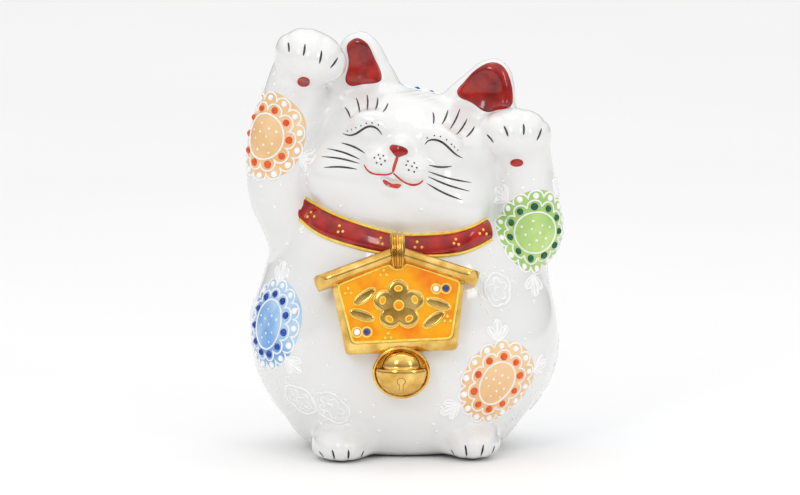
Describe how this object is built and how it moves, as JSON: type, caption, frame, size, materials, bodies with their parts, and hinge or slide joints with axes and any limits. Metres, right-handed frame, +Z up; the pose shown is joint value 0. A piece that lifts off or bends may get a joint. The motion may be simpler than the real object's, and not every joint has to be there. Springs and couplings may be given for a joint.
{
  "type": "beckoning cat figurine",
  "caption": "Hollow porcelain beckoning cat with both forepaws raised, a relief collar, a roofed tablet pendant and bell, and raised enamel medallions; stands on a flat base as an ornament.",
  "frame": {"origin": "middle of the torso's flat base, on the surface the cat stands on", "axes": "+Z up from the base to the raised paw, the cat faces -Y, +X is the cat's own left side"},
  "size_m": [0.1748, 0.1572, 0.2404],
  "materials": {
    "porcelain": "clear gloss glaze over white slip-cast porcelain",
    "red_enamel": "deep red overglaze enamel, glossy",
    "dark_red_enamel": "dark red overglaze enamel, glossy",
    "yellow_trail": "raised yellow enamel trailed as a thin line",
    "white_trail": "raised white enamel, trailed as lines and beads",
    "blue_trail": "raised cobalt blue enamel beads",
    "orange_panel": "thin orange enamel over gilding, glossy",
    "peach_field": "thin even wash of peach enamel",
    "blue_field": "thin wash of light blue enamel",
    "green_field": "thin wash of light green enamel",
    "gilding": "bright gold fired on the glaze"
  },
  "bodies": {
    "root": {"bell_band": "gilding", "bell_lower_half": "gilding", "bell_upper_half": "gilding", "collar_band": "red_enamel", "collar_dots": "yellow_trail", "collar_trim_lower": "yellow_trail", "collar_trim_upper": "yellow_trail", "crown_medallion": "blue_field", "head": "porcelain", "left_arm_medallion": "green_field", "left_back_medallion": "blue_field", "left_ear": "porcelain", "left_ear_lining": "dark_red_enamel", "left_foreleg": "porcelain", "left_hind_foot": "porcelain", "left_thigh_medallion": "peach_field", "lip": "red_enamel", "mouth_line": "red_enamel", "nose": "red_enamel", "paw_pads": "dark_red_enamel", "pendant_loop": "gilding", "plaque_board": "gilding", "plaque_dots_blue": "blue_trail", "plaque_dots_white": "white_trail", "plaque_dots_yellow": "yellow_trail", "plaque_ornament": "gilding", "plaque_outline": "yellow_trail", "plaque_panel": "orange_panel", "plaque_roof": "gilding", "right_arm_medallion": "peach_field", "right_ear": "porcelain", "right_ear_lining": "dark_red_enamel", "right_flank_medallion": "blue_field", "right_foreleg": "porcelain", "right_hind_foot": "porcelain", "tail": "porcelain", "torso": "porcelain"}
  },
  "joints": []
}
